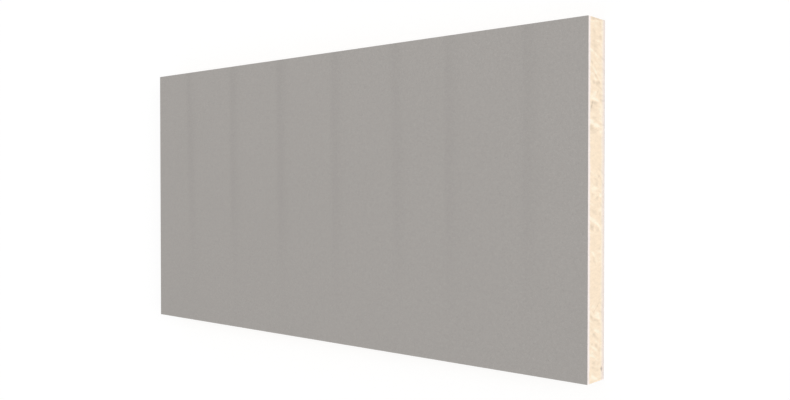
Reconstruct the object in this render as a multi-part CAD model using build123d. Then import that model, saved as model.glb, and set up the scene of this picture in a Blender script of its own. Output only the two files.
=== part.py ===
from build123d import *
import os

# Rigid polyisocyanurate insulation board, of the kind laid on flat roofs.
#
# Closed-cell foam is poured between two thin sheets, the facers. It rises to
# the board's thickness and sets, which bonds the three layers over their whole
# area. The board is then sawn square on all four sides, so the facers end
# flush with the foam.
#
# X runs along the board, Y across it and Z up through its thickness. The
# origin is the centre of the back face, which the board lies on.

# Driving dimensions, in millimetres.
BOARD_LENGTH = 2438.4  # 8 ft
BOARD_WIDTH = 1219.2  # 4 ft
BOARD_THICKNESS = 114.3  # 4 1/2 in, over both facers
FRONT_FACER_THICKNESS = 1.0
BACK_FACER_THICKNESS = 1.0

# Heights of the four faces that bound the layers, from the back face up.
BACK_FACE = 0.0
CORE_BACK = BACK_FACE + BACK_FACER_THICKNESS
FRONT_FACE = BACK_FACE + BOARD_THICKNESS
CORE_FRONT = FRONT_FACE - FRONT_FACER_THICKNESS


def layer(low, high):
    """One layer between two heights: its section across the board, sawn to the board's length."""
    section = Plane.YZ * Pos(0, (low + high) / 2) * Rectangle(BOARD_WIDTH, high - low)
    return extrude(section, BOARD_LENGTH / 2, both=True)


def back_facer():
    """The sheet that the board lies on."""
    return layer(BACK_FACE, CORE_BACK)


def foam_core():
    """The foam, which fills all the height between the two facers."""
    return layer(CORE_BACK, CORE_FRONT)


def front_facer():
    """The sheet on the upper side, which the roof covering goes on."""
    return layer(CORE_FRONT, FRONT_FACE)


def write_parts():
    """Writes each layer to a file of its own, named for the layer."""
    os.makedirs("parts", exist_ok=True)
    for piece in (back_facer, foam_core, front_facer):
        export_step(piece(), f"parts/{piece.__name__}.step")


write_parts()
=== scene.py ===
# The looks of a rigid roof insulation board: a core of cream foam between two
# grey felt facers. It lies flat, front facer up, and the camera looks down on it.
#
# Lengths are in metres. X runs along the board, Y across it and Z up. The near
# end is the one towards +X, and the left edge the one towards +Y.
import math
import random
from collections import namedtuple

import bmesh
import bpy
from mathutils import Matrix, Vector, kdtree, noise


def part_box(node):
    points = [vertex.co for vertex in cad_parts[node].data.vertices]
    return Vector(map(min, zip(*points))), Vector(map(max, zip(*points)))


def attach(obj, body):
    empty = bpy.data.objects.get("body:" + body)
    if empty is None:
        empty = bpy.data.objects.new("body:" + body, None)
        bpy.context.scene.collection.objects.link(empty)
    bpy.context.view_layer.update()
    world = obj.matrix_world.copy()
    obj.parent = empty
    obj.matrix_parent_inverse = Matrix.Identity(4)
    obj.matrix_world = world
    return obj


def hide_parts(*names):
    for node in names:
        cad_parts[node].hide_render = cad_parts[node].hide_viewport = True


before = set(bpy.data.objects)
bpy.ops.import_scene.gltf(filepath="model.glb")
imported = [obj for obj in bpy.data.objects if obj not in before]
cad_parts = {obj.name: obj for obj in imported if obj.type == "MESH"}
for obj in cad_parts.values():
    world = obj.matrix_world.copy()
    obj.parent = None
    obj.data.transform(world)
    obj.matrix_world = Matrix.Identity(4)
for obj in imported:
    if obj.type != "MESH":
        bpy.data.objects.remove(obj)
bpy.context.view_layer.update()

MM = 0.001

# The board's layers, as the frame gives them.
FRONT_LOW, FRONT_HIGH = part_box("front_facer")
CORE_LOW, CORE_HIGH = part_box("foam_core")
BACK_LOW, BACK_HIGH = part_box("back_facer")
BOARD_LENGTH = CORE_HIGH.x - CORE_LOW.x
BOARD_WIDTH = CORE_HIGH.y - CORE_LOW.y

# Colours, as linear red, green and blue.
FELT_GREY = (0.370, 0.3505, 0.333)
CUT_FELT = (0.36, 0.345, 0.335)
FOAM_CREAM = (0.960, 0.802, 0.620)
FOAM_PALE = (0.990, 0.915, 0.750)
# The front skin's colour is partly pale foam and partly a painted highlight along the top edge of the sawn
# sides.
FRONT_SKIN_AND_HIGHLIGHT = (0.980, 0.885, 0.845)
BACK_SKIN = (0.868, 0.772, 0.708)

# A pattern's tone is the share by which it changes a colour for each 1 of the
# pattern, and where the pattern is at its level, it leaves the colour as it is.
# Blotches are soft unevenness: their size and their strength. A scale is in
# features for each metre.

# Ripples across each facer: each one's place at the left edge, as a share of the
# length from the far end, how far it drifts nearer on its way to the right edge, and
# its depth, as a share of the deepest.
Ripple = namedtuple("Ripple", "share drift depth")
RIPPLES = (
    Ripple(0.098, 44 * MM, 0.95),
    Ripple(0.238, 16 * MM, 1.0),
    Ripple(0.374, 18 * MM, 1.0),
    Ripple(0.515, 6 * MM, 0.9),
    Ripple(0.652, 22 * MM, 0.75),
    Ripple(0.761, 6 * MM, 0.75),
    Ripple(0.901, 2 * MM, 0.75),
)
RIPPLE_DEPTH = 0.45 * MM
RIPPLE_STEEP_SIDE = 14 * MM
RIPPLE_EASY_SIDE = 28 * MM
# Painted shade: the felt is darkened by this share at the bottom of each ripple, for the shade in its
# valley.
RIPPLE_PAINTED_SHADE = 0.046

# A ripple wanders off its line, over this length across the board. From one ripple
# to the next, the wander changes at this scale.
RIPPLE_WANDER = 5 * MM
RIPPLE_WANDER_LENGTH = 220 * MM
RIPPLE_WANDER_SCALE = 3.0

# A ripple rises from almost nothing to its full depth between these shares of
# the width, counted from the right edge.
RIPPLE_FADE = (0.08, 0.58)
RIPPLE_LEFT_OVER = 0.08

# Painted light: how much paler the felt is painted at the left edge than at the right,
# and at the near end than at the far one, as a fall-off of the light.
PAINTED_LIGHT_LEFTWARDS = 0.036
PAINTED_LIGHT_NEARWARDS = 0.022

# Fibres of the felt. They lie in several ways, spread evenly round from the first
# angle, and each way's fibres are shifted from those before. A fibre fades out
# between these distances from its middle, in its own lengths and widths.
FIBRE_WAYS = 5
FIBRE_FIRST_ANGLE = 0.3
FIBRE_SHIFT = (0.37, 0.21, 0.0)
FIBRE_LENGTH = 22 * MM
FIBRE_WIDTH = 0.75 * MM
FIBRE_FADE = (0.16, 0.30)
FIBRE_BEND = 6 * MM
FIBRE_BEND_SCALE = 60.0
FIBRE_TONE = 0.10
FIBRE_LEVEL = 0.45

# Grain of felt and foam is half cells and half specks, and here and there a pit.
# Specks and pits are scattered at these shares of the cells' scale. A pit's radius
# is a random share of the room round it, up to the largest, and it fades out
# beside its rim.
GRAIN_SIZE = 0.9 * MM
GRAIN_TONE = 0.10
GRAIN_LEVEL = 0.45
SPECK_SCALE = 0.6
PIT_SCALE = 0.12
LARGEST_PIT = 0.25
PIT_RIM_FADE = (-0.07, 0.02)

# The felt's face: blotches, the painted shade in its pits, roughness between the fibres
# and how much glossier they are, and the fibres' height with the grain's and pits' as shares of it.
FELT_BROAD_BLOTCHES = (350 * MM, 0.03)
FELT_FINE_BLOTCHES = (18 * MM, 0.05)
FELT_PIT_PAINTED_SHADE = -0.12
FELT_ROUGHNESS = 0.93
FIBRE_GLOSS = 0.08
FELT_SPECULAR = 0.15
FIBRE_HEIGHT = 0.05 * MM
FELT_GRAIN_HEIGHT = 0.6
FELT_PIT_DEPTH = 1.0

# The felt's cut edge, where the grain is the ends of its fibres.
CUT_GRAIN_SIZE = 0.5 * MM
CUT_GRAIN_TONE = 0.5
CUT_GRAIN_LEVEL = 0.44
CUT_GRAIN_HEIGHT = 0.15 * MM
CUT_BLOTCHES = (12 * MM, 0.5)
CUT_ROUGHNESS = 0.97

# The sawn foam: blotches, the painted shade in its pits, roughness, and the grain's
# height with the saw lines' and pits' as shares of it.
FOAM_BLOTCHES = (90 * MM, 0.04)
FOAM_PIT_PAINTED_SHADE = -0.10
FOAM_ROUGHNESS = 0.95
FOAM_GRAIN_HEIGHT = 0.16 * MM
SAW_LINE_HEIGHT = 0.6
FOAM_PIT_DEPTH = 2.0

# On both the felt's cut edge and the sawn foam: how much glossier the grain is
# where it is pale, and how strongly the surface mirrors.
GRAIN_GLOSS = 0.1
SAWN_SPECULAR = 0.2

# Saw lines across the foam's thickness: how far they lean for each metre up, and
# their scale round the board and up it.
SAW_LEAN = 0.12
SAW_SCALE_ROUND = 700.0
SAW_SCALE_UP = 14.0
SAW_TONE = 0.03
SAW_LEVEL = 0.5

# Wisps are fine swirls in the foam, with their edges between these values of the
# noise. They are drawn out up the ends and along the sides, and the sides' give way
# to the end's between these distances from an end.
WISP_SCALE = 130.0
WISP_BEND = 20 * MM
WISP_BEND_SCALE = 30.0
WISP_EDGE = (0.35, 0.65)
WISP_TONE = 0.027
END_WISP_STRETCH = (1.0, 1.0, 0.4)
SIDE_WISP_STRETCH = (0.2, 1.0, 1.0)
END_WISP_FADE = (5 * MM, 4 * MM)

# The foam's skin beside each facer: from and to where it fades out, counted from
# the facer, and how unevenly deep it is. The pale band beside the front facer is partly
# this skin and partly a painted highlight along the top edge of the sawn sides. A paler line runs where the
# back one ends.
FRONT_SKIN_FADE = (8 * MM, 19 * MM)
BACK_SKIN_FADE = (6 * MM, 26 * MM)
SKIN_UNEVEN = 12 * MM
SKIN_UNEVEN_SCALE = 28.0
BACK_LINE_MIDDLE = 18 * MM
BACK_LINE_HALF = 8 * MM
BACK_LINE_SHARE = 0.4

# The facers' mesh, and how far fibres at its cut edges fall short.
FELT_CELL_ALONG = 6.5 * MM
FELT_CELL_ACROSS = 8 * MM
FELT_FRAY = 0.3 * MM
FELT_FRAY_LENGTH = 19 * MM

# The core's mesh, finer on the end that faces the camera.
FOAM_CELL_NEAR = 2.4 * MM
FOAM_CELL_FAR = 5 * MM
FOAM_CELL_UP = 3 * MM

# A point this near to an end or a long side lies on it. An edge of the mesh runs
# along an axis if more than this share of its length does. A crease is sharp from
# this angle, in degrees.
ON_SIDE = 1 * MM
ALONG_AXIS = 0.9
FACER_CREASE = 45
FOAM_CREASE = 60

# Relief of the sawn foam, from its outermost points inwards. It fades out
# beside the facers.
SWELL_DEPTH = 0.25 * MM
SWELL_LENGTH = 70 * MM
SWIRL_DEPTH = 0.35 * MM
RELIEF_MARGIN = 5 * MM

# Swirls in the foam. On the ends they reach across the thickness and lean one
# way or the other. On the long sides they run along the board. Over the broad
# swirls lie finer ones, so many times as fine across and along them, and weaker.
# Where the swirls are above 0 the foam is pale, up to the palest, and below 0 dark.
NEAR_END_SWIRLS = 1.25
FAR_END_SWIRLS = 1.5
SIDE_SWIRLS = 1.0
SWIRL_WIDTH = 12 * MM
SWIRL_REACH = 48 * MM
SWIRL_LEAN = 0.25
SWIRL_LEAN_CHANGE = 0.7
SWIRL_LEAN_LENGTH = 170 * MM
SWIRL_BEND = 14 * MM
SWIRL_BEND_LENGTH = 60 * MM
SIDE_SWIRL_REACH = 80 * MM
SIDE_BEND_LENGTH = 120 * MM
FINER_ACROSS = 2.3
FINER_ALONG = 2.0
FINER_SHARE = 0.4
SWIRL_TONE = 0.122
PALEST_SWIRL = 1.35

# Seeds give each side swirls of its own. The bends and the finer swirls take
# seeds so much above their side's.
NEAR_END_SEED = 1.0
FAR_END_SEED = 3.0
LONG_SIDE_SEED = 7.0
BEND_SEED = 5
FINER_SEED = 9

# Single marks on the near end: where along Y and up Z, how far each reaches
# across the thickness and how thick it is, all in millimetres, how much it leans,
# and its tone, which is added to the swirls there.
Mark = namedtuple("Mark", "y z reach thick lean tone")
NEAR_END_MARKS = (
    Mark(606, 60, 32, 4, 0.0, -1.5),
    Mark(597, 70, 30, 4, -0.2, 0.9),
    Mark(595, 32, 6, 4, 0.0, -1.2),
    Mark(564, 76, 12, 7, 0.2, -1.1),
    Mark(552, 33, 10, 7, 0.0, -1.0),
    Mark(532, 70, 16, 7, 0.1, -0.6),
    Mark(496, 94, 8, 8, 0.0, 0.7),
    Mark(497, 72, 9, 7, 0.0, -0.8),
    Mark(483, 51, 38, 4, 0.37, 0.8),
    Mark(463, 82, 12, 7, 0.0, -0.8),
    Mark(437, 68, 16, 6, 1.4, 0.7),
    Mark(428, 62, 30, 5, -0.25, 0.6),
    Mark(418, 57, 10, 5, 0.0, -0.7),
    Mark(404, 50, 26, 4, 0.0, 0.7),
    Mark(394, 76, 10, 7, 0.0, -1.1),
    Mark(394, 46, 14, 8, 0.0, -1.8),
    Mark(360, 51, 11, 6, -1.4, -1.0),
    Mark(338, 66, 38, 7, 0.22, 1.3),
    Mark(313, 91, 9, 9, -1.3, -2.1),
    Mark(327, 64, 24, 5, 0.0, -1.2),
    Mark(269, 60, 26, 5, 0.15, -0.7),
    Mark(256, 72, 38, 9, 0.19, 1.8),
    Mark(241, 92, 20, 9, 0.15, -1.7),
    Mark(237, 52, 18, 8, 0.1, -0.8),
    Mark(82, 72, 22, 5, 0.1, 0.6),
    Mark(79, 40, 8, 5, -0.5, -0.9),
    Mark(56, 53, 8, 6, 0.2, -1.0),
    Mark(38, 75, 32, 6, 0.12, 0.5),
    Mark(18, 78, 12, 8, -0.2, -1.2),
    Mark(7, 52, 9, 8, 0.0, -0.9),
    Mark(17, 27, 8, 6, 0.0, 2.2),
    Mark(-44, 29, 8, 7, 0.0, -1.5),
    Mark(-38, 66, 30, 16, 0.0, -0.25),
    Mark(-72, 68, 36, 6, 0.33, 1.7),
    Mark(-87, 82, 14, 11, 0.2, -1.8),
    Mark(-100, 50, 13, 9, 0.3, -1.1),
    Mark(-109, 64, 26, 5, 0.2, 0.8),
    Mark(-160, 31, 7, 5, 0.0, -0.9),
    Mark(-186, 67, 20, 8, 0.85, 0.8),
    Mark(-201, 70, 12, 8, 0.9, -0.9),
    Mark(-337, 32, 8, 8, 0.0, -0.6),
    Mark(-358, 86, 10, 4, -0.76, 0.7),
    Mark(-362, 56, 19, 3.5, -0.76, -1.2),
    Mark(-384, 88, 10, 7, 0.8, -1.2),
    Mark(-401, 54, 19, 4.5, 0.3, -1.2),
    Mark(-385, 47, 21, 9, 0.3, 1.5),
    Mark(-440, 50, 24, 10, 0.4, 0.8),
    Mark(-448, 69, 10, 4, 0.2, -1.5),
    Mark(-480, 83, 7, 4, 0.2, -1.2),
    Mark(-492, 72, 30, 6, 0.42, 1.2),
    Mark(-486, 50, 10, 7, 0.0, -0.8),
    Mark(-512, 60, 12, 6, 0.3, -0.6),
    Mark(-517, 18, 8, 6, 0.0, 1.4),
    Mark(-522, 75, 28, 5, 0.45, 0.8),
    Mark(-545, 70, 12, 8, 0.0, -0.8),
    Mark(-560, 66, 20, 3.5, 0.35, -0.8),
    # This mark darkens the corner void: painted shade in its hollow.
    Mark(-571, 15, 9, 8, 0.3, -2.4),
    Mark(-594, 64, 24, 4, 0.4, 0.9),
)

# Stretches of the near end where the foam is plainer: middle and half length along Y.
# Each fades out between these shares of its half length. The swirls keep a share of
# their strength there, and the tone is added to them.
QUIET_STRETCHES = ((165 * MM, 55 * MM), (-137 * MM, 26 * MM), (-285 * MM, 58 * MM))
QUIET_FADE = (0.7, 1.3)
QUIET_SHARE = 0.25
QUIET_TONE = -0.13

# Voids are gas pockets that the saw has opened. Of the large ones, which are wider
# than they are high, one is at the near end and the rest are scattered over the
# other sides. Their heights are shares of the thickness, and their farthest place
# from the middle of a side a share of its length. A void's rim is ragged, but
# stays within its reach, which like its wall is counted in its radii. The painted
# shade in its hollow is taken from the swirls at its bottom.
Void = namedtuple("Void", "middle radius depth")
CORNER_VOID = Void(Vector((CORE_HIGH.x, -572 * MM, 13 * MM)), 11 * MM, 4 * MM)
SCATTERED_VOIDS = 14
SCATTERED_RADIUS = (5 * MM, 10 * MM)
SCATTERED_DEPTH = (1.5 * MM, 3 * MM)
LOWEST_VOID = 0.15
HIGHEST_VOID = 0.85
FARTHEST_VOID = 0.48
VOID_SQUASH = 1.6
VOID_WALL = 0.4
VOID_RAGGED = 0.35
VOID_REACH = 1.5
VOID_CUTS = 2
VOID_PAINTED_SHADE = 1.8
VOID_SEED = 5

# Open pits are the small voids, everywhere on the sawn sides but for a margin. Each
# is hollowed in one face of the mesh, and as deep as this share of a half ball. A
# face smaller than this share of the finest cell has been divided for a large void.
OPEN_PITS = 330
OPEN_PIT_CUTS = 5
OPEN_PIT_RADIUS = (0.7 * MM, 1.15 * MM)
OPEN_PIT_DEPTH = 0.9
OPEN_PIT_MARGIN = 9 * MM
OPEN_PIT_SEED = 11
UNDIVIDED_SHARE = 0.8

# The camera: its place, the way it looks, its lens and how far it sees, for a
# picture of 790 by 400.
CAMERA_PLACE = Vector((2.6073, 0.0450, 2.6841))
CAMERA_LOOK = Vector((-0.65532, -0.01494, -0.75521))
CAMERA_LENS = 39.42
CAMERA_SENSOR = 36.0
CAMERA_SIGHT = 200.0

# The light: an even sky, and one wide lamp that stands low past the near end.
SKY = 0.70
KEY_DIRECTION = Vector((0.84, 0.08, 0.53))
KEY_STRENGTH = 1.52
KEY_SPREAD = 0.6

# The floor gives back this share of the light. Where the camera sees it, part of
# that is a glow of its own, which brings it up to white.
FLOOR_HALF = 40.0
FLOOR_DROP = 0.2 * MM
FLOOR_ALBEDO = 0.5
FLOOR_SEEN_ALBEDO = 0.3
FLOOR_GLOW = 0.72


# Building materials from nodes.


def add_node(tree, kind, settings=None, inputs=None):
    """Adds a node. inputs maps a socket's name or number to a value, or to a socket that feeds it."""
    made = tree.nodes.new(kind)
    for name, value in (settings or {}).items():
        setattr(made, name, value)
    for name, value in (inputs or {}).items():
        if isinstance(value, bpy.types.NodeSocket):
            tree.links.new(value, made.inputs[name])
        else:
            made.inputs[name].default_value = value
    return made


def maths(tree, operation, first, second=0.0, third=0.0):
    """One sum on values or sockets."""
    inputs = {0: first, 1: second, 2: third}
    return add_node(tree, "ShaderNodeMath", {"operation": operation}, inputs).outputs[0]


def vector_maths(tree, operation, first, second):
    """One sum on two vectors."""
    inputs = {0: first, 1: second}
    return add_node(tree, "ShaderNodeVectorMath", {"operation": operation}, inputs).outputs[0]


def scaled(tree, vector, factor):
    """A vector or a colour times a factor."""
    inputs = {0: vector, "Scale": factor}
    return add_node(tree, "ShaderNodeVectorMath", {"operation": "SCALE"}, inputs).outputs[0]


def product(tree, factors):
    """The product of several factors."""
    so_far = factors[0]
    for factor in factors[1:]:
        so_far = maths(tree, "MULTIPLY", so_far, factor)
    return so_far


def joined(tree, x, y, z=0.0):
    """A vector made of three values."""
    return add_node(tree, "ShaderNodeCombineXYZ", {}, {"X": x, "Y": y, "Z": z}).outputs[0]


def rise(tree, value, start, end, low=0.0, high=1.0):
    """Goes smoothly from low to high as value goes from start to end."""
    settings = {"interpolation_type": "SMOOTHSTEP"}
    inputs = {"Value": value, "From Min": start, "From Max": end, "To Min": low, "To Max": high}
    return add_node(tree, "ShaderNodeMapRange", settings, inputs).outputs["Result"]


def fall(tree, value, start, end, high=1.0):
    """Goes smoothly from high to 0 as value goes from start to end."""
    return rise(tree, value, start, end, high, 0.0)


def slope(tree, value, start, end, change):
    """A factor that grows evenly by change as value goes from start to end, with 1 half way."""
    inputs = {
        "Value": value,
        "From Min": start,
        "From Max": end,
        "To Min": 1 - change / 2,
        "To Max": 1 + change / 2,
    }
    return add_node(tree, "ShaderNodeMapRange", {}, inputs).outputs["Result"]


def toned(tree, value, tone, level=0.0):
    """A factor that is 1 where value is at a level, and changes by tone for each 1 above it."""
    return maths(tree, "MULTIPLY_ADD", value, tone, 1 - tone * level)


def noise_value(tree, vector, scale, detail=2.0, roughness=0.5):
    """Soft noise from 0 to 1."""
    inputs = {"Vector": vector, "Scale": scale, "Detail": detail, "Roughness": roughness}
    return add_node(tree, "ShaderNodeTexNoise", {}, inputs).outputs["Fac"]


def noise_offset(tree, vector, scale, amount):
    """vector moved about by up to half the amount, in metres, by slow noise."""
    inputs = {"Vector": vector, "Scale": scale, "Detail": 1.0}
    field = add_node(tree, "ShaderNodeTexNoise", {}, inputs).outputs["Color"]
    centred = vector_maths(tree, "SUBTRACT", field, (0.5, 0.5, 0.5))
    return vector_maths(tree, "ADD", vector, scaled(tree, centred, amount))


def scattered_points(tree, vector, scale, dimensions="3D"):
    """Random points: the distance to the nearest one, and a random colour that it has."""
    settings = {"voronoi_dimensions": dimensions}
    return add_node(tree, "ShaderNodeTexVoronoi", settings, {"Vector": vector, "Scale": scale}).outputs


def place_on_piece(tree):
    """Object coordinates."""
    return add_node(tree, "ShaderNodeTexCoord").outputs["Object"]


def parted(tree, vector):
    """A vector's three values, by their names X, Y and Z."""
    return add_node(tree, "ShaderNodeSeparateXYZ", {}, {0: vector}).outputs


def carried_by_mesh(tree, layer):
    """The value that the points of a mesh carry in one of its layers."""
    return add_node(tree, "ShaderNodeAttribute", {"attribute_name": layer}).outputs["Fac"]


def blended(tree, share, first, second):
    """Two colours mixed, with share of the second."""
    inputs = {0: share, 6: first, 7: second}
    return add_node(tree, "ShaderNodeMix", {"data_type": "RGBA"}, inputs).outputs[2]


def bumped(tree, shader, height, distance):
    """Gives a shader fine relief. distance is the relief's depth for a height of 1."""
    inputs = {"Height": height, "Distance": distance}
    bump = add_node(tree, "ShaderNodeBump", {}, inputs)
    tree.links.new(bump.outputs["Normal"], shader.inputs["Normal"])


def new_group(name, inputs, outputs):
    """An empty node group. inputs maps a name to its socket's type and value, outputs a name to its type."""
    group = bpy.data.node_groups.new(name, "ShaderNodeTree")
    for socket_name, (kind, value) in inputs.items():
        socket = group.interface.new_socket(socket_name, in_out="INPUT", socket_type=kind)
        if value is not None:
            socket.default_value = value
    for socket_name, kind in outputs.items():
        group.interface.new_socket(socket_name, in_out="OUTPUT", socket_type=kind)
    return group, group.nodes.new("NodeGroupInput").outputs, group.nodes.new("NodeGroupOutput").inputs


def place_group(tree, group, inputs):
    """Places a group in a material and returns its outputs."""
    return add_node(tree, "ShaderNodeGroup", {"node_tree": group}, inputs).outputs


def new_material(name, specular):
    """A material with one Principled shader, and the tree and shader to build on."""
    material = bpy.data.materials.new(name)
    material.use_nodes = True
    tree = material.node_tree
    shader = tree.nodes["Principled BSDF"]
    shader.inputs["Specular IOR Level"].default_value = specular
    return material, tree, shader


# Effects that more than one material uses, or one uses more than once.


def make_blotches():
    """Soft uneven tone, as a factor about 1."""
    group, given, out = new_group(
        "blotches",
        {
            "Vector": ("NodeSocketVector", None),
            "Size": ("NodeSocketFloat", 100 * MM),
            "Strength": ("NodeSocketFloat", 0.01),
        },
        {"Factor": "NodeSocketFloat"},
    )
    scale = maths(group, "DIVIDE", 1.0, given["Size"])
    field = noise_value(group, given["Vector"], scale, detail=3.0)
    centred = maths(group, "SUBTRACT", field, 0.5)
    group.links.new(maths(group, "MULTIPLY_ADD", centred, given["Strength"], 1.0), out["Factor"])
    return group


def make_fibres():
    """Short fibres that lie one way, as a mask. Each is as long and wide as the sizes say, at most."""
    group, given, out = new_group(
        "short fibres",
        {
            "Vector": ("NodeSocketVector", None),
            "Angle": ("NodeSocketFloat", 0.0),
            "Length": ("NodeSocketFloat", FIBRE_LENGTH),
            "Width": ("NodeSocketFloat", FIBRE_WIDTH),
        },
        {"Mask": "NodeSocketFloat"},
    )
    bent = noise_offset(group, given["Vector"], FIBRE_BEND_SCALE, FIBRE_BEND)
    turned = add_node(
        group,
        "ShaderNodeVectorRotate",
        {"rotation_type": "Z_AXIS"},
        {"Vector": bent, "Angle": given["Angle"]},
    ).outputs[0]
    room = joined(group, given["Length"], given["Width"], 1.0)
    in_fibres = vector_maths(group, "DIVIDE", turned, room)
    from_fibre = scattered_points(group, in_fibres, 1.0, "2D")["Distance"]
    group.links.new(fall(group, from_fibre, *FIBRE_FADE), out["Mask"])
    return group


def make_grain():
    """Fine grain from 0 to 1, with the odd deeper pit."""
    group, given, out = new_group(
        "grain",
        {
            "Vector": ("NodeSocketVector", None),
            "Size": ("NodeSocketFloat", GRAIN_SIZE),
        },
        {"Grain": "NodeSocketFloat", "Pits": "NodeSocketFloat"},
    )
    scale = maths(group, "DIVIDE", 1.0, given["Size"])
    cells = scattered_points(group, given["Vector"], scale)["Distance"]
    specks = noise_value(group, given["Vector"], maths(group, "MULTIPLY", scale, SPECK_SCALE), detail=3.0)
    half_specks = maths(group, "MULTIPLY", specks, 0.5)
    group.links.new(maths(group, "MULTIPLY_ADD", cells, 0.5, half_specks), out["Grain"])
    pits = scattered_points(group, given["Vector"], maths(group, "MULTIPLY", scale, PIT_SCALE))
    chance = parted(group, pits["Color"])["X"]
    past_rim = maths(group, "MULTIPLY_ADD", chance, -LARGEST_PIT, pits["Distance"])
    group.links.new(fall(group, past_rim, *PIT_RIM_FADE), out["Pits"])
    return group


blotches = make_blotches()
short_fibres = make_fibres()
grain = make_grain()


def blotched(tree, place, size, strength):
    """Blotches of one size, as a factor about 1."""
    return place_group(tree, blotches, {"Vector": place, "Size": size, "Strength": strength})["Factor"]


# Materials.


def fibres_every_way(tree, place):
    """How many short fibres lie over each other at a point."""
    fibres = 0.0
    for turn in range(FIBRE_WAYS):
        shift = tuple(turn * step for step in FIBRE_SHIFT)
        inputs = {
            "Vector": vector_maths(tree, "ADD", place, shift),
            "Angle": math.pi * turn / FIBRE_WAYS + FIBRE_FIRST_ANGLE,
            "Length": FIBRE_LENGTH,
            "Width": FIBRE_WIDTH,
        }
        fibres = maths(tree, "ADD", place_group(tree, short_fibres, inputs)["Mask"], fibres)
    return fibres


def make_felt_face():
    """The facers' outer face: matt warm-grey felt with short fibres lying every way."""
    material, tree, shader = new_material("facer felt", FELT_SPECULAR)
    place = place_on_piece(tree)
    along = parted(tree, place)
    fibres = fibres_every_way(tree, place)
    surface = place_group(tree, grain, {"Vector": place, "Size": GRAIN_SIZE})
    tones = (
        # Painted light: the felt is paler towards the left edge and the near end.
        slope(tree, along["Y"], CORE_LOW.y, CORE_HIGH.y, PAINTED_LIGHT_LEFTWARDS),
        slope(tree, along["X"], CORE_LOW.x, CORE_HIGH.x, PAINTED_LIGHT_NEARWARDS),
        blotched(tree, place, *FELT_BROAD_BLOTCHES),
        blotched(tree, place, *FELT_FINE_BLOTCHES),
        toned(tree, fibres, FIBRE_TONE, FIBRE_LEVEL),
        toned(tree, surface["Grain"], GRAIN_TONE, GRAIN_LEVEL),
        # Painted shade in the pits.
        toned(tree, surface["Pits"], FELT_PIT_PAINTED_SHADE),
        # Painted shade in the ripples' valleys.
        toned(tree, carried_by_mesh(tree, "ripple"), -RIPPLE_PAINTED_SHADE),
    )
    tree.links.new(scaled(tree, FELT_GREY, product(tree, tones)), shader.inputs["Base Color"])
    roughness = maths(tree, "MULTIPLY_ADD", fibres, -FIBRE_GLOSS, FELT_ROUGHNESS)
    tree.links.new(roughness, shader.inputs["Roughness"])
    height = maths(tree, "MULTIPLY_ADD", surface["Grain"], FELT_GRAIN_HEIGHT, fibres)
    height = maths(tree, "MULTIPLY_ADD", surface["Pits"], -FELT_PIT_DEPTH, height)
    bumped(tree, shader, height, FIBRE_HEIGHT)
    return material


def make_felt_edge():
    """The facers' cut edge, where the ends of the fibres show."""
    material, tree, shader = new_material("facer cut edge", SAWN_SPECULAR)
    place = place_on_piece(tree)
    fibre_ends = place_group(tree, grain, {"Vector": place, "Size": CUT_GRAIN_SIZE})["Grain"]
    tones = (
        toned(tree, fibre_ends, CUT_GRAIN_TONE, CUT_GRAIN_LEVEL),
        blotched(tree, place, *CUT_BLOTCHES),
    )
    tree.links.new(scaled(tree, CUT_FELT, product(tree, tones)), shader.inputs["Base Color"])
    roughness = maths(tree, "MULTIPLY_ADD", fibre_ends, -GRAIN_GLOSS, CUT_ROUGHNESS)
    tree.links.new(roughness, shader.inputs["Roughness"])
    bumped(tree, shader, fibre_ends, CUT_GRAIN_HEIGHT)
    return material


def wisps(tree, place, stretch):
    """Wisps as a factor about 1, drawn out along the axes where stretch is below 1."""
    bent = noise_offset(tree, place, WISP_BEND_SCALE, WISP_BEND)
    drawn = add_node(tree, "ShaderNodeMapping", {}, {"Vector": bent, "Scale": stretch}).outputs[0]
    field = noise_value(tree, drawn, WISP_SCALE, detail=3.0, roughness=0.6)
    return rise(tree, field, *WISP_EDGE, 1 - WISP_TONE, 1 + WISP_TONE)


def wisps_all_round(tree, place, along):
    """Wisps that follow the broad swirls: up the ends, and along the sides."""
    from_middle = maths(tree, "ABSOLUTE", along["X"])
    side_stops, end_starts = (CORE_HIGH.x - inwards for inwards in END_WISP_FADE)
    share_of_end = rise(tree, from_middle, side_stops, end_starts)
    on_ends = wisps(tree, place, END_WISP_STRETCH)
    on_sides = wisps(tree, place, SIDE_WISP_STRETCH)
    difference = maths(tree, "SUBTRACT", on_ends, on_sides)
    return maths(tree, "ADD", on_sides, maths(tree, "MULTIPLY", share_of_end, difference))


def saw_lines(tree, along):
    """Faint lines across the thickness, a little aslant, from 0 to 1."""
    run = maths(tree, "ADD", along["X"], along["Y"])
    slant = maths(tree, "MULTIPLY_ADD", along["Z"], SAW_LEAN, run)
    across = maths(tree, "MULTIPLY", slant, SAW_SCALE_ROUND)
    up = maths(tree, "MULTIPLY", along["Z"], SAW_SCALE_UP)
    return noise_value(tree, joined(tree, across, up), 1.0, detail=1.0)


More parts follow.
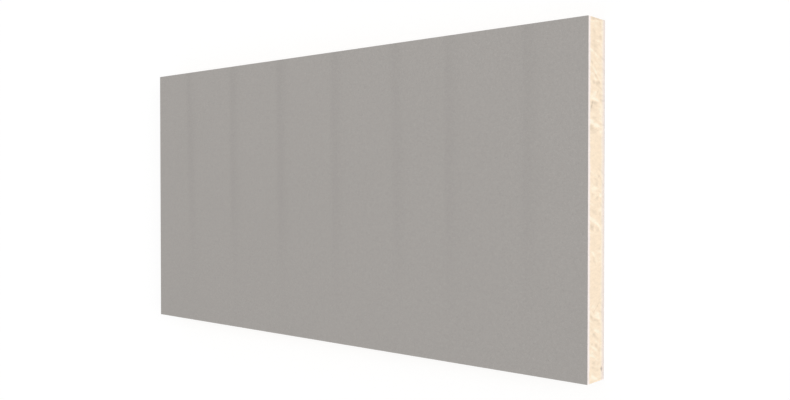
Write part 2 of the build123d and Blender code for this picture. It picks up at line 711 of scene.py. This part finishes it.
def foam_colour(tree, place, along, texture):
    """Cream with paler and darker swirls, painted shade in the voids, and its denser and paler skin beside
    each facer, which at the front is partly a painted highlight.
    """
    swirl = carried_by_mesh(tree, "swirl")
    dark = toned(tree, maths(tree, "MINIMUM", swirl, 0.0), SWIRL_TONE)
    plain_shade = product(tree, texture)
    shade = product(tree, (dark, *texture))
    pale = rise(tree, swirl, 0.0, PALEST_SWIRL)
    tinted = blended(tree, pale, (*FOAM_CREAM, 1.0), (*FOAM_PALE, 1.0))

    uneven = noise_value(tree, place, SKIN_UNEVEN_SCALE)
    shift = maths(tree, "MULTIPLY_ADD", uneven, SKIN_UNEVEN, -SKIN_UNEVEN / 2)
    from_front = maths(tree, "ADD", maths(tree, "SUBTRACT", CORE_HIGH.z, along["Z"]), shift)
    from_back = maths(tree, "ADD", maths(tree, "SUBTRACT", along["Z"], CORE_LOW.z), shift)
    off_line = maths(tree, "ABSOLUTE", maths(tree, "SUBTRACT", from_back, BACK_LINE_MIDDLE))
    back = fall(tree, from_back, *BACK_SKIN_FADE)
    line = fall(tree, off_line, 0.0, BACK_LINE_HALF, BACK_LINE_SHARE)
    front = fall(tree, from_front, *FRONT_SKIN_FADE)

    colour = blended(tree, back, scaled(tree, tinted, shade), scaled(tree, BACK_SKIN, shade))
    colour = blended(tree, line, colour, scaled(tree, FOAM_PALE, shade))
    # Partly pale skin, partly a painted highlight along the top edge of the sawn sides.
    return blended(tree, front, colour, scaled(tree, FRONT_SKIN_AND_HIGHLIGHT, plain_shade))


def make_sawn_foam():
    """Cream closed-cell foam as the saw leaves it: swirls, cut cells, pits and faint saw lines."""
    material, tree, shader = new_material("sawn foam", SAWN_SPECULAR)
    place = place_on_piece(tree)
    along = parted(tree, place)
    surface = place_group(tree, grain, {"Vector": place, "Size": GRAIN_SIZE})
    saw = saw_lines(tree, along)
    texture = (
        blotched(tree, place, *FOAM_BLOTCHES),
        wisps_all_round(tree, place, along),
        toned(tree, saw, SAW_TONE, SAW_LEVEL),
        toned(tree, surface["Grain"], GRAIN_TONE, GRAIN_LEVEL),
        # Painted shade in the pits.
        toned(tree, surface["Pits"], FOAM_PIT_PAINTED_SHADE),
    )
    tree.links.new(foam_colour(tree, place, along, texture), shader.inputs["Base Color"])
    roughness = maths(tree, "MULTIPLY_ADD", surface["Grain"], -GRAIN_GLOSS, FOAM_ROUGHNESS)
    tree.links.new(roughness, shader.inputs["Roughness"])
    height = maths(tree, "MULTIPLY_ADD", saw, SAW_LINE_HEIGHT, surface["Grain"])
    height = maths(tree, "MULTIPLY_ADD", surface["Pits"], -FOAM_PIT_DEPTH, height)
    bumped(tree, shader, height, FOAM_GRAIN_HEIGHT)
    return material


felt_face = make_felt_face()
felt_edge = make_felt_edge()
sawn_foam = make_sawn_foam()


# Shapes.


def smooth(value, start, end):
    """0 below start, 1 above end, and a smooth rise between them."""
    share = min(max((value - start) / (end - start), 0.0), 1.0)
    return share * share * (3 - 2 * share)


def field_at(*place):
    """Soft noise from about -1 to 1 at a place of three coordinates."""
    return noise.noise(Vector(place))


def on_end(x):
    """Whether a point lies on one of the board's two ends."""
    return abs(x) > CORE_HIGH.x - ON_SIDE


def on_long_side(y):
    """Whether a point lies on one of the board's two long sides."""
    return abs(y) > CORE_HIGH.y - ON_SIDE


def upright(face):
    """Whether a face belongs to the board's sides, and not to a face above or below."""
    return abs(face.normal.z) < 0.5


def push_in(vert, outside, depth):
    """Moves a point of the sides inwards, square to the side or sides that it was on."""
    if on_end(outside.x):
        vert.co.x -= math.copysign(depth, outside.x)
    if on_long_side(outside.y):
        vert.co.y -= math.copysign(depth, outside.y)


def close_mesh(bm):
    """Fills each opening, and cuts faces of more than four corners into fans about their middles."""
    bmesh.ops.holes_fill(bm, edges=[edge for edge in bm.edges if edge.is_boundary])
    bmesh.ops.poke(bm, faces=[face for face in bm.faces if len(face.verts) > 4])
    bmesh.ops.recalc_face_normals(bm, faces=bm.faces)


def keep_creases(bm, angle):
    """Keeps each edge sharp that turns by more than an angle, in degrees."""
    for edge in bm.edges:
        if edge.calc_face_angle(0.0) > math.radians(angle):
            edge.smooth = False


def mesh_object(name, bm, materials):
    """Turns a bmesh into an object at the origin."""
    mesh = bpy.data.meshes.new(name)
    bm.to_mesh(mesh)
    bm.free()
    piece = bpy.data.objects.new(name, mesh)
    bpy.context.scene.collection.objects.link(piece)
    for material in materials:
        mesh.materials.append(material)
    return piece


def ripple_at(x, y):
    """How far down in a ripple a point of a facer lies, from 0 to 1."""
    wander = RIPPLE_WANDER * field_at(RIPPLE_WANDER_SCALE * x, y / RIPPLE_WANDER_LENGTH, 0)
    from_right = (y - CORE_LOW.y) / BOARD_WIDTH
    deepest = 0.0
    for ripple in RIPPLES:
        middle = CORE_LOW.x + ripple.share * BOARD_LENGTH + ripple.drift * (1 - from_right)
        off = x + wander - middle
        side = RIPPLE_STEEP_SIDE if off < 0 else RIPPLE_EASY_SIDE
        deepest = max(deepest, ripple.depth * math.exp(-0.5 * (off / side) ** 2))
    return deepest * (RIPPLE_LEFT_OVER + (1 - RIPPLE_LEFT_OVER) * smooth(from_right, *RIPPLE_FADE))


def facer_sheet(name, outer, inner):
    """A felt sheet from its outer face, which is rippled, to its inner face on the foam."""
    bm = bmesh.new()
    bmesh.ops.create_grid(
        bm,
        x_segments=round(BOARD_LENGTH / FELT_CELL_ALONG),
        y_segments=round(BOARD_WIDTH / FELT_CELL_ACROSS),
        size=0.5,
        matrix=Matrix.Diagonal((BOARD_LENGTH, BOARD_WIDTH, 1.0, 1.0)),
    )
    ripple_layer = bm.verts.layers.float.new("ripple")
    inwards = math.copysign(1.0, inner - outer)
    for vert in bm.verts:
        point = vert.co.copy()
        ripple = ripple_at(point.x, point.y)
        frayed = field_at(point.x / FELT_FRAY_LENGTH, point.y / FELT_FRAY_LENGTH, outer / MM)
        vert[ripple_layer] = ripple
        push_in(vert, point, FELT_FRAY * max(0.0, frayed))
        vert.co.z = outer + inwards * RIPPLE_DEPTH * ripple
    rim = [edge for edge in bm.edges if edge.is_boundary]
    edge_strip = bmesh.ops.extrude_edge_only(bm, edges=rim)
    for item in edge_strip["geom"]:
        if isinstance(item, bmesh.types.BMVert):
            item.co.z = inner
    close_mesh(bm)
    for face in bm.faces:
        face.material_index = 1 if upright(face) else 0
        face.smooth = not upright(face)
    keep_creases(bm, FACER_CREASE)
    return mesh_object(name, bm, (felt_face, felt_edge))


def end_swirls(y, z, seed):
    """The swirls of an end, which reach across the thickness, from about -1 to 1."""
    lean = SWIRL_LEAN + SWIRL_LEAN_CHANGE * field_at(y / SWIRL_LEAN_LENGTH, seed, 0)
    bend = field_at(y / SWIRL_BEND_LENGTH, z / SWIRL_BEND_LENGTH, seed + BEND_SEED)
    across = (y - lean * (z - CORE_HIGH.z / 2) + SWIRL_BEND * bend) / SWIRL_WIDTH
    along = z / SWIRL_REACH
    finer = field_at(FINER_ACROSS * across, FINER_ALONG * along, seed + FINER_SEED)
    return field_at(across, along, seed) + FINER_SHARE * finer


def side_swirls(x, z, seed):
    """The swirls of a long side, which run along the board, from about -1 to 1."""
    bend = field_at(x / SIDE_BEND_LENGTH, z / SWIRL_BEND_LENGTH, seed + BEND_SEED)
    across = (z + SWIRL_BEND * bend) / SWIRL_WIDTH
    along = x / SIDE_SWIRL_REACH
    finer = field_at(FINER_ALONG * along, FINER_ACROSS * across, seed + FINER_SEED)
    return field_at(along, across, seed) + FINER_SHARE * finer


def mark_tone(mark, y, z):
    """What one mark adds to the tone at a point of the near end."""
    up = z - mark.z * MM
    along = (y - mark.y * MM - mark.lean * up) / (mark.thick * MM)
    across = up / (mark.reach * MM)
    return mark.tone * math.exp(-(along**2) - across**4)


def swirl_at(point):
    """The tone of the foam at a point of its sides: above 0 is pale, below 0 dark."""
    x, y, z = point
    if not on_end(x):
        return SIDE_SWIRLS * side_swirls(x, z, math.copysign(LONG_SIDE_SEED, y))
    if x < 0:
        return FAR_END_SWIRLS * end_swirls(y, z, FAR_END_SEED)
    strength = NEAR_END_SWIRLS
    tone = sum(mark_tone(mark, y, z) for mark in NEAR_END_MARKS)
    for middle, half in QUIET_STRETCHES:
        quiet = 1 - smooth(abs(y - middle) / half, *QUIET_FADE)
        strength *= 1 - (1 - QUIET_SHARE) * quiet
        tone += QUIET_TONE * quiet
    return strength * end_swirls(y, z, NEAR_END_SEED) + tone


def relief_at(point, swirl):
    """How far the sawn foam lies inside its outermost points."""
    swell = SWELL_DEPTH * (0.5 + 0.5 * noise.noise(point / SWELL_LENGTH))
    hollow = SWIRL_DEPTH * max(0.0, 0.5 - 0.5 * swirl)
    edge = min(CORE_HIGH.z - point.z, point.z - CORE_LOW.z)
    return (swell + hollow) * smooth(edge, 0.0, RELIEF_MARGIN)


def void_share(point, void):
    """How near the bottom of a void a point lies, from 0 outside its ragged rim to 1."""
    off = point - void.middle
    off.z *= VOID_SQUASH
    ragged = 1 + VOID_RAGGED * field_at(*(2 * point / void.radius))
    return smooth(1 - off.length * ragged / void.radius, 0.0, VOID_WALL)


def scatter_voids():
    """The void at the near end, and large voids at random places on the other sides."""
    dice = random.Random(VOID_SEED)
    lowest = CORE_LOW.z + LOWEST_VOID * CORE_HIGH.z
    highest = HIGHEST_VOID * CORE_HIGH.z
    voids = [CORNER_VOID]
    for count in range(SCATTERED_VOIDS):
        z = dice.uniform(lowest, highest)
        along = dice.uniform(-FARTHEST_VOID, FARTHEST_VOID)
        middle = dice.choice(
            (
                Vector((CORE_LOW.x, along * BOARD_WIDTH, z)),
                Vector((along * BOARD_LENGTH, CORE_LOW.y, z)),
                Vector((along * BOARD_LENGTH, CORE_HIGH.y, z)),
            )
        )
        voids.append(Void(middle, dice.uniform(*SCATTERED_RADIUS), dice.uniform(*SCATTERED_DEPTH)))
    return voids


def edges_along(bm, axis, keep):
    """The edges that run along an axis and whose middle passes a test."""
    found = []
    for edge in bm.edges:
        first, second = (vert.co for vert in edge.verts)
        span = second - first
        if abs(span[axis]) > ALONG_AXIS * span.length and keep((first + second) / 2):
            found.append(edge)
    return found


def block_sides():
    """The four sawn sides of the core, divided finely, and open above and below."""
    bm = bmesh.new()
    size = CORE_HIGH - CORE_LOW
    middle = (CORE_HIGH + CORE_LOW) / 2
    place = Matrix.Translation(middle) @ Matrix.Diagonal((*size, 1.0))
    bmesh.ops.create_cube(bm, size=1.0, matrix=place)
    flat = [face for face in bm.faces if not upright(face)]
    bmesh.ops.delete(bm, geom=flat, context="FACES_ONLY")

    def everywhere(middle):
        return True

    def near(middle):
        return middle.x > 0

    def far(middle):
        return middle.x < 0

    for axis, keep, cell in (
        (0, everywhere, FOAM_CELL_FAR),
        (1, near, FOAM_CELL_NEAR),
        (1, far, FOAM_CELL_FAR),
        (2, everywhere, FOAM_CELL_UP),
    ):
        cuts = round(size[axis] / cell) - 1
        bmesh.ops.subdivide_edges(bm, edges=edges_along(bm, axis, keep), cuts=cuts)
    return bm


def divide_faces(bm, faces, cuts):
    """Divides faces both ways, and returns the points that are new."""
    edges = list(dict.fromkeys(edge for face in faces for edge in face.edges))
    divided = bmesh.ops.subdivide_edges(bm, edges=edges, cuts=cuts, use_grid_fill=True)
    return [item for item in divided["geom_inner"] if isinstance(item, bmesh.types.BMVert)]


def hollow_open_pits(bm):
    """Small voids with real depth: single faces of the sides, divided finely and hollowed."""

    def fit_for_pit(face):
        x, y, z = face.calc_center_median()
        inside = min(CORE_HIGH.z - z, z - CORE_LOW.z) > OPEN_PIT_MARGIN
        off_ends = CORE_HIGH.x - abs(x) > OPEN_PIT_MARGIN
        off_long_sides = CORE_HIGH.y - abs(y) > OPEN_PIT_MARGIN
        undivided = face.calc_area() > UNDIVIDED_SHARE * FOAM_CELL_NEAR * FOAM_CELL_UP
        return inside and off_ends != off_long_sides and undivided and len(face.verts) == 4

    dice = random.Random(OPEN_PIT_SEED)
    chosen = dice.sample([face for face in bm.faces if fit_for_pit(face)], OPEN_PITS)
    pits = []
    nearest = kdtree.KDTree(len(chosen))
    for number, face in enumerate(chosen):
        pits.append((face.normal.copy(), dice.uniform(*OPEN_PIT_RADIUS)))
        nearest.insert(face.calc_center_median(), number)
    nearest.balance()
    for vert in divide_faces(bm, chosen, OPEN_PIT_CUTS):
        number, distance = nearest.find(vert.co)[1:]
        outwards, radius = pits[number]
        if distance < radius:
            vert.co -= outwards * OPEN_PIT_DEPTH * math.sqrt(radius**2 - distance**2)


def foam_block(name):
    """The foam core, with its relief, swirls and voids on the four sawn sides."""
    bm = block_sides()
    voids = scatter_voids()

    def voids_near(point):
        return [void for void in voids if (point - void.middle).length < VOID_REACH * void.radius]

    cut_by_voids = [face for face in bm.faces if voids_near(face.calc_center_median())]
    divide_faces(bm, cut_by_voids, VOID_CUTS)
    swirl_layer = bm.verts.layers.float.new("swirl")
    for vert in bm.verts:
        point = vert.co.copy()
        swirl = swirl_at(point)
        depth = relief_at(point, swirl)
        for void in voids_near(point):
            share = void_share(point, void)
            depth += share * void.depth
            # Painted shade in the void's hollow.
            swirl -= share * VOID_PAINTED_SHADE
        vert[swirl_layer] = swirl
        push_in(vert, point, depth)
    bm.normal_update()
    hollow_open_pits(bm)
    close_mesh(bm)
    for face in bm.faces:
        face.smooth = True
    keep_creases(bm, FOAM_CREASE)
    return mesh_object(name, bm, (sawn_foam,))


front_sheet = facer_sheet("front_facer_sheet", FRONT_HIGH.z, FRONT_LOW.z)
back_sheet = facer_sheet("back_facer_sheet", BACK_LOW.z, BACK_HIGH.z)
core_block = foam_block("foam_core_block")

for piece, node, slot in (
    (front_sheet, "front_facer", "facer"),
    (back_sheet, "back_facer", "facer"),
    (core_block, "foam_core", "foam"),
):
    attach(piece, "root")
    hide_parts(node)


# The studio: a white floor that keeps the board's soft shadow, and plain light.


def seen_directly(tree):
    """1 where the camera looks straight at a surface, or sees it in or through another."""
    ray = add_node(tree, "ShaderNodeLightPath").outputs
    mirrored = maths(tree, "MAXIMUM", ray["Is Glossy Ray"], ray["Is Transmission Ray"])
    return maths(tree, "MAXIMUM", ray["Is Camera Ray"], mirrored)


def make_floor():
    """A pale floor that shows white wherever nothing shades it."""
    bm = bmesh.new()
    bmesh.ops.create_grid(bm, x_segments=1, y_segments=1, size=FLOOR_HALF)
    bmesh.ops.translate(bm, vec=(0, 0, -FLOOR_DROP), verts=bm.verts)
    material, tree, shader = new_material("studio floor", 0.0)
    shader.inputs["Roughness"].default_value = 1.0
    shader.inputs["Emission Color"].default_value = (1, 1, 1, 1)
    seen = seen_directly(tree)
    albedo = rise(tree, seen, 0.0, 1.0, FLOOR_ALBEDO, FLOOR_SEEN_ALBEDO)
    tree.links.new(albedo, shader.inputs["Base Color"])
    tree.links.new(maths(tree, "MULTIPLY", seen, FLOOR_GLOW), shader.inputs["Emission Strength"])
    floor = mesh_object("studio_floor", bm, (material,))


def make_sky():
    """Even light from all round, which the camera sees as white."""
    world = bpy.data.worlds.new("studio light")
    bpy.context.scene.world = world
    world.use_nodes = True
    tree = world.node_tree
    background = tree.nodes["Background"]
    background.inputs["Color"].default_value = (1, 1, 1, 1)
    tree.links.new(rise(tree, seen_directly(tree), 0.0, 1.0, SKY, 1.0), background.inputs["Strength"])


def make_key_lamp():
    """A wide soft lamp far away."""
    data = bpy.data.lights.new("key lamp", "SUN")
    data.energy = KEY_STRENGTH
    data.angle = KEY_SPREAD
    lamp = bpy.data.objects.new("key lamp", data)
    lamp.rotation_mode = "QUATERNION"
    lamp.rotation_quaternion = KEY_DIRECTION.to_track_quat("Z", "Y")
    bpy.context.scene.collection.objects.link(lamp)


def make_camera():
    """The photograph's view, with the board's width upright in the picture."""
    data = bpy.data.cameras.new("camera")
    data.lens = CAMERA_LENS
    data.sensor_width = CAMERA_SENSOR
    data.clip_end = CAMERA_SIGHT
    camera = bpy.data.objects.new("camera", data)
    look = CAMERA_LOOK.normalized()
    right = look.cross(Vector((0, 1, 0))).normalized()
    up = right.cross(look)
    turn = Matrix((right, up, -look)).transposed().to_4x4()
    camera.matrix_world = Matrix.Translation(CAMERA_PLACE) @ turn
    bpy.context.scene.collection.objects.link(camera)
    bpy.context.scene.camera = camera


make_floor()
make_sky()
make_key_lamp()
make_camera()
bpy.context.scene.view_settings.view_transform = "Standard"
